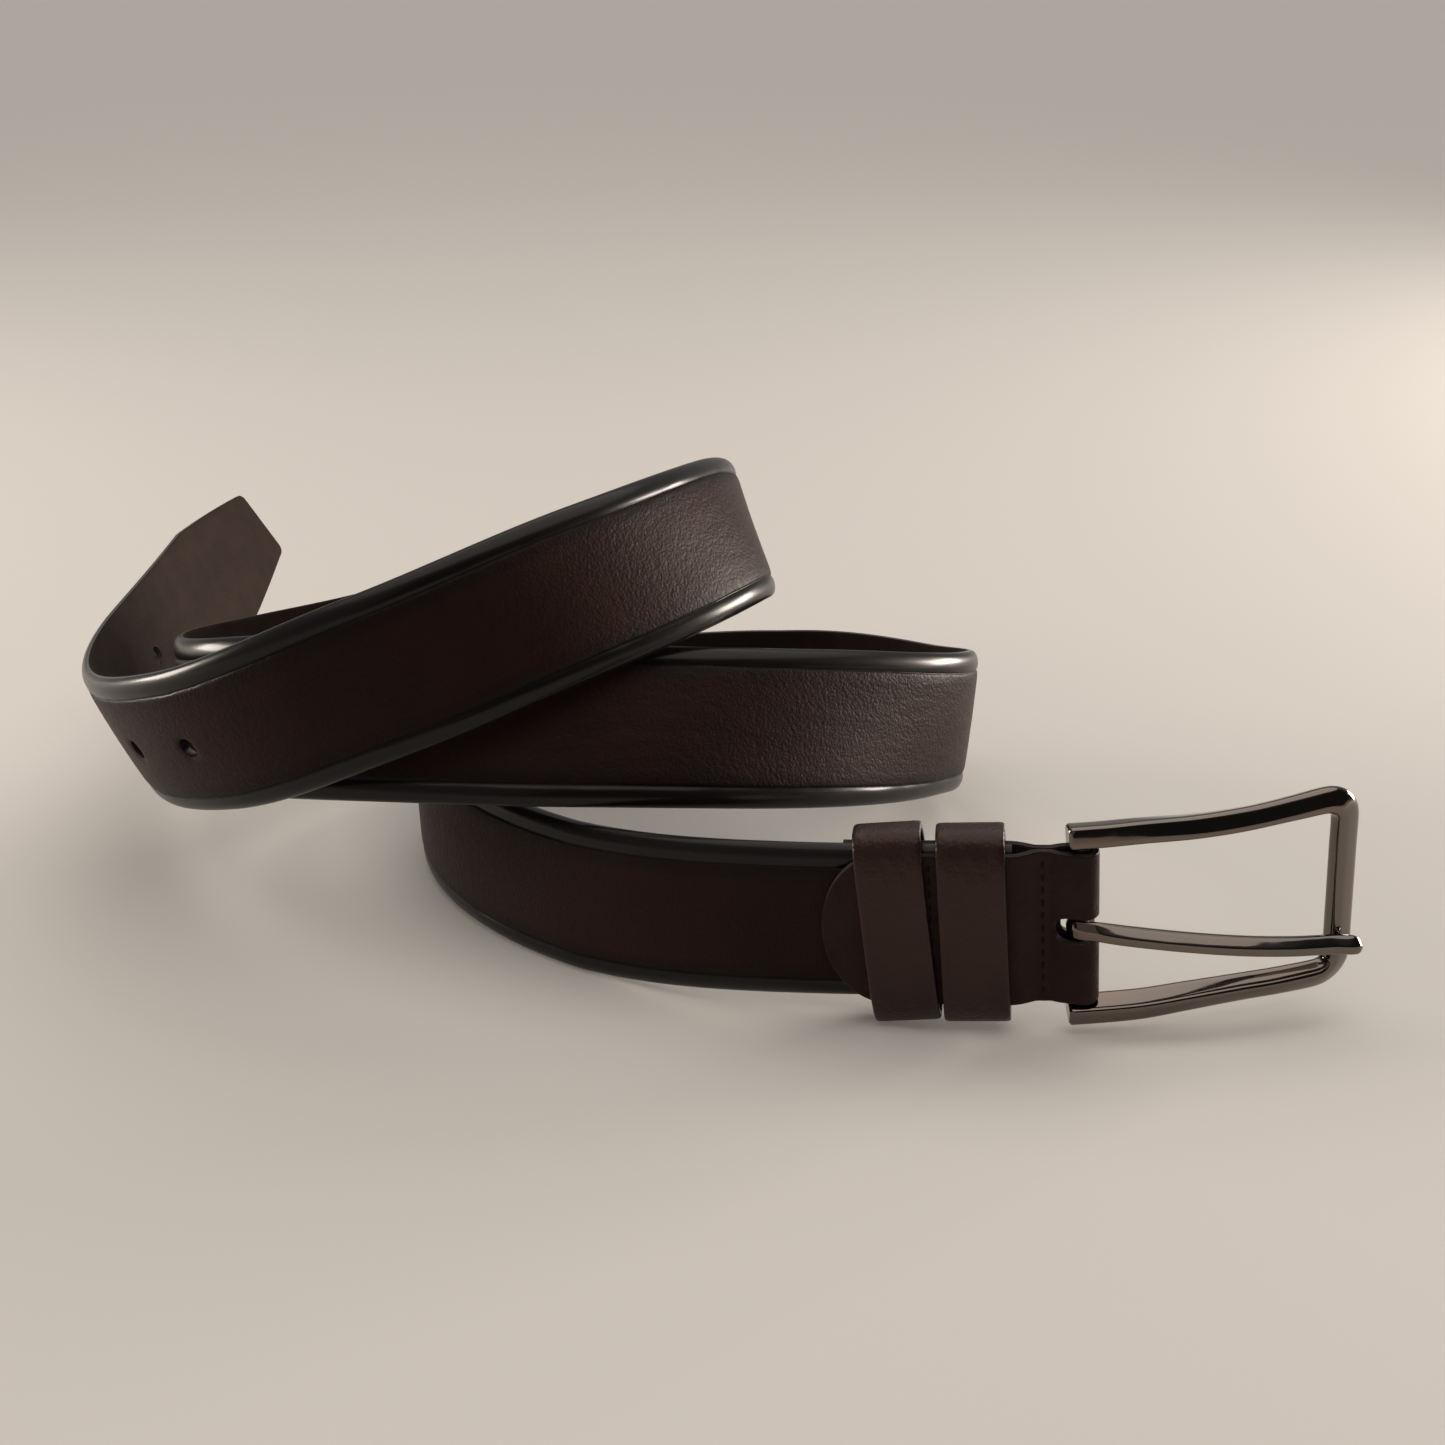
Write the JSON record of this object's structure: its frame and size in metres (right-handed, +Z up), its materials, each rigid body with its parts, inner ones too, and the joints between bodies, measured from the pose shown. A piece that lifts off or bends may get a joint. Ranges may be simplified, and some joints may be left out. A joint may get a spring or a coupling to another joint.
{
  "type": "belt",
  "caption": "Leather dress belt lying coiled on its edge, with a bevelled strap, holes near the tip, keepers and a prong buckle.",
  "frame": {"origin": "centre of the coiled belt's bounding box, at the level of the surface it stands on", "axes": "+Z up, +X from the coil towards the buckle, +Y from the buckle's side of the coil to the tip's side"},
  "size_m": [0.2826, 0.2141, 0.0997],
  "materials": {
    "grain": "fine pebbled grain, satin, with burnished glossy edges",
    "filler": "bonded fibre, matt",
    "lining": "smooth, matt",
    "chape": "smooth, satin, raw edges",
    "keeper": "smooth, satin",
    "metal": "polished dark nickel",
    "bar_steel": "plain",
    "thread": "waxed thread",
    "staple_steel": "plain wire"
  },
  "bodies": {
    "belt": {"strap_face": "grain", "strap_filler": "filler", "strap_lining": "lining", "chape": "chape", "bar_stitches": "thread", "leaf_stitches": "thread", "fixed_keeper": "keeper", "fixed_keeper_staple": "staple_steel"},
    "buckle": {"buckle_frame": "metal", "heel_bar": "bar_steel"},
    "tongue": {"prong": "metal"},
    "keeper": {"free_keeper": "keeper", "free_keeper_staple": "staple_steel"}
  },
  "joints": [
    {"name": "frame_swing", "type": "hinge", "parent": "belt", "child": "buckle", "pos_m": [0.08284, -0.10208, 0.02549], "axis": [0.0801, 0.0572, -0.9951], "range_deg": [-25, 35]},
    {"name": "prong_swing", "type": "hinge", "parent": "buckle", "child": "tongue", "pos_m": [0.08284, -0.10208, 0.02549], "axis": [0.0801, 0.0572, -0.9951], "range_deg": [0, 75]},
    {"name": "keeper_slide", "type": "slide", "parent": "belt", "child": "keeper", "axis": [-0.9847, 0.1586, -0.0718], "range_m": [-0.0003, 0.018]}
  ]
}
